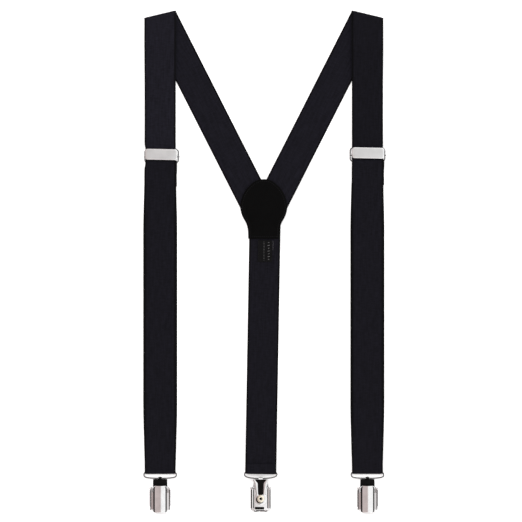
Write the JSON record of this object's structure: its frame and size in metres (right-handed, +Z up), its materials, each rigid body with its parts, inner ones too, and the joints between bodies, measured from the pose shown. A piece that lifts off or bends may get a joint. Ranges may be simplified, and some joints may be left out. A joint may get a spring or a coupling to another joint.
{
  "type": "suspenders",
  "caption": "Y-back trouser suspenders lying flat: elastic webbing straps, leather yoke, wire-frame length sliders and lever clips on wire loops.",
  "frame": {"origin": "centre of the footprint, on the surface that the suspenders lie on", "axes": "+Y from the clips towards the shoulder folds, +Z up from the surface, +X to the right as the folded suspenders are looked down on"},
  "size_m": [0.2686, 0.5494, 0.0095],
  "materials": {
    "webbing": "matte ribbed elastic webbing",
    "leather": "smooth satin leather",
    "label": "woven, matte",
    "slider_metal": "satin brushed",
    "clip_metal": "polished",
    "rivet": "polished",
    "jaw_pad": "matte"
  },
  "bodies": {
    "root": {"left_diagonal_strap": "webbing", "right_diagonal_strap": "webbing", "left_shoulder_bend": "webbing", "right_shoulder_bend": "webbing", "back_strap": "webbing", "yoke_outer_leather": "leather", "yoke_inner_leather": "leather", "label": "label"},
    "left_front": {"left_front_strap_upper": "webbing"},
    "left_slider": {"left_slider_frame": "slider_metal", "left_slider_pin": "slider_metal", "left_tail_end": "webbing", "left_front_strap_lower": "webbing"},
    "left_turn": {"left_strap_turn": "webbing", "left_tail": "webbing"},
    "left_cover": {"left_slider_cover": "slider_metal"},
    "left_loop": {"left_loop": "clip_metal"},
    "left_clip": {"left_hanger": "clip_metal", "left_rivet": "rivet", "left_rear_jaw": "clip_metal", "left_jaw_pad": "jaw_pad", "left_lever_pin": "clip_metal"},
    "left_lever": {"left_lever": "clip_metal"},
    "left_front_jaw": {"left_front_jaw": "clip_metal"},
    "right_front": {"right_front_strap_upper": "webbing"},
    "right_slider": {"right_slider_frame": "slider_metal", "right_slider_pin": "slider_metal", "right_tail_end": "webbing", "right_front_strap_lower": "webbing"},
    "right_turn": {"right_strap_turn": "webbing", "right_tail": "webbing"},
    "right_cover": {"right_slider_cover": "slider_metal"},
    "right_loop": {"right_loop": "clip_metal"},
    "right_clip": {"right_hanger": "clip_metal", "right_rivet": "rivet", "right_rear_jaw": "clip_metal", "right_jaw_pad": "jaw_pad", "right_lever_pin": "clip_metal"},
    "right_lever": {"right_lever": "clip_metal"},
    "right_front_jaw": {"right_front_jaw": "clip_metal"},
    "back_loop": {"back_loop": "clip_metal"},
    "back_clip": {"back_hanger": "clip_metal", "back_rivet": "rivet", "back_rear_jaw": "clip_metal", "back_jaw_pad": "jaw_pad", "back_lever_pin": "clip_metal"},
    "back_lever": {"back_lever": "clip_metal"},
    "back_front_jaw": {"back_front_jaw": "clip_metal"}
  },
  "joints": [
    {"name": "left_shoulder_fold", "type": "hinge", "parent": "root", "child": "left_front", "pos_m": [-0.11355, 0.26921, 0.00135], "axis": [-0.9726, -0.2326, 0], "range_deg": [0, 170], "deforming": ["left_shoulder_bend"]},
    {"name": "left_slider_run", "type": "slide", "parent": "left_front", "child": "left_slider", "axis": [0, -1, 0], "range_m": [-0.07, 0.15], "deforming": ["left_front_strap_upper"]},
    {"name": "left_turn_run", "type": "slide", "parent": "left_slider", "child": "left_turn", "axis": [0, -1, 0], "range_m": [-0.075, 0.035], "deforming": ["left_front_strap_lower", "left_tail"]},
    {"name": "left_cover_lift", "type": "hinge", "parent": "left_slider", "child": "left_cover", "pos_m": [-0.1134, 0.11401, 0.0073], "axis": [1, 0, 0], "range_deg": [0, 45]},
    {"name": "left_loop_swing", "type": "hinge", "parent": "left_turn", "child": "left_loop", "pos_m": [-0.11355, -0.23059, 0.0023], "axis": [-1, 0, 0], "range_deg": [-75, 45]},
    {"name": "left_clip_tilt", "type": "hinge", "parent": "left_loop", "child": "left_clip", "pos_m": [-0.11355, -0.23759, 0.0023], "axis": [-1, 0, 0], "range_deg": [-75, 45]},
    {"name": "left_lever_open", "type": "hinge", "parent": "left_clip", "child": "left_lever", "pos_m": [-0.11355, -0.24859, 0.0054], "axis": [-1, 0, 0], "range_deg": [0, 100]},
    {"name": "left_jaw_open", "type": "hinge", "parent": "left_clip", "child": "left_front_jaw", "pos_m": [-0.11355, -0.24859, 0.0054], "axis": [-1, 0, 0], "range_deg": [0, 15]},
    {"name": "right_shoulder_fold", "type": "hinge", "parent": "root", "child": "right_front", "pos_m": [0.11325, 0.26921, 0.00135], "axis": [-0.9726, 0.2326, 0], "range_deg": [0, 170], "deforming": ["right_shoulder_bend"]},
    {"name": "right_slider_run", "type": "slide", "parent": "right_front", "child": "right_slider", "axis": [0, -1, 0], "range_m": [-0.07, 0.15], "deforming": ["right_front_strap_upper"]},
    {"name": "right_turn_run", "type": "slide", "parent": "right_slider", "child": "right_turn", "axis": [0, -1, 0], "range_m": [-0.075, 0.035], "deforming": ["right_front_strap_lower", "right_tail"]},
    {"name": "right_cover_lift", "type": "hinge", "parent": "right_slider", "child": "right_cover", "pos_m": [0.1134, 0.11561, 0.0073], "axis": [1, 0, 0], "range_deg": [0, 45]},
    {"name": "right_loop_swing", "type": "hinge", "parent": "right_turn", "child": "right_loop", "pos_m": [0.11325, -0.23059, 0.0023], "axis": [-1, 0, 0], "range_deg": [-75, 45]},
    {"name": "right_clip_tilt", "type": "hinge", "parent": "right_loop", "child": "right_clip", "pos_m": [0.11325, -0.23759, 0.0023], "axis": [-1, 0, 0], "range_deg": [-75, 45]},
    {"name": "right_lever_open", "type": "hinge", "parent": "right_clip", "child": "right_lever", "pos_m": [0.11325, -0.24859, 0.0054], "axis": [-1, 0, 0], "range_deg": [0, 100]},
    {"name": "right_jaw_open", "type": "hinge", "parent": "right_clip", "child": "right_front_jaw", "pos_m": [0.11325, -0.24859, 0.0054], "axis": [-1, 0, 0], "range_deg": [0, 15]},
    {"name": "back_loop_swing", "type": "hinge", "parent": "root", "child": "back_loop", "pos_m": [-0.00358, -0.23059, 0.00535], "axis": [-1, 0, 0], "range_deg": [-45, 75]},
    {"name": "back_clip_tilt", "type": "hinge", "parent": "back_loop", "child": "back_clip", "pos_m": [-0.00358, -0.23759, 0.00535], "axis": [-1, 0, 0], "range_deg": [-45, 75]},
    {"name": "back_lever_open", "type": "hinge", "parent": "back_clip", "child": "back_lever", "pos_m": [-0.00358, -0.24859, 0.00225], "axis": [1, 0, 0], "range_deg": [0, 100]},
    {"name": "back_jaw_open", "type": "hinge", "parent": "back_clip", "child": "back_front_jaw", "pos_m": [-0.00358, -0.24859, 0.00225], "axis": [1, 0, 0], "range_deg": [0, 15]}
  ],
  "couplings": [
    {"joint": "left_turn_run", "follows": "left_slider_run", "ratio": -0.5},
    {"joint": "left_jaw_open", "follows": "left_lever_open", "ratio": 0.15},
    {"joint": "right_turn_run", "follows": "right_slider_run", "ratio": -0.5},
    {"joint": "right_jaw_open", "follows": "right_lever_open", "ratio": 0.15},
    {"joint": "back_jaw_open", "follows": "back_lever_open", "ratio": 0.15}
  ]
}
